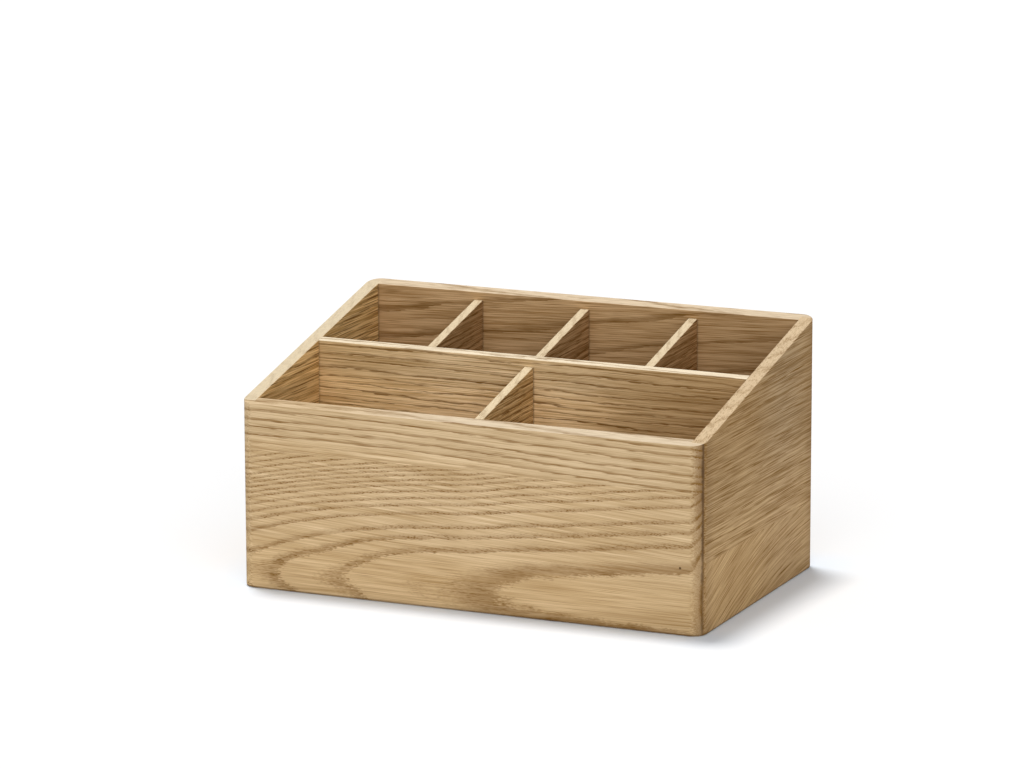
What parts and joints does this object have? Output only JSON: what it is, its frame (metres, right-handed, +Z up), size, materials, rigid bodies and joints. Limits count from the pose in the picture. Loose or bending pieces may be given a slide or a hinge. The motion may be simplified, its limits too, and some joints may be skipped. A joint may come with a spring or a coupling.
{
  "type": "pen organizer",
  "caption": "Open oak desk organizer with a rim that slopes down to the front, rounded corners and thin boards that part it into a front row and a rear row of compartments.",
  "frame": {"origin": "centre of the footprint, on the surface that the organizer stands on", "axes": "+X to the right along the width, +Y from the low front to the tall back, +Z up"},
  "size_m": [0.21, 0.13, 0.1099],
  "materials": {
    "oak_boards": "oak boards, sanded and matt oiled",
    "oak_dividers": "thin oak boards, sanded and matt oiled",
    "oak_bottom": "oak veneered board, sanded and matt oiled"
  },
  "bodies": {
    "root": {"front_panel": "oak_boards", "back_panel": "oak_boards", "left_side_panel": "oak_boards", "right_side_panel": "oak_boards", "bottom_panel": "oak_bottom", "long_divider": "oak_dividers", "front_divider": "oak_dividers", "rear_divider_left": "oak_dividers", "rear_divider_middle": "oak_dividers", "rear_divider_right": "oak_dividers"}
  },
  "joints": []
}
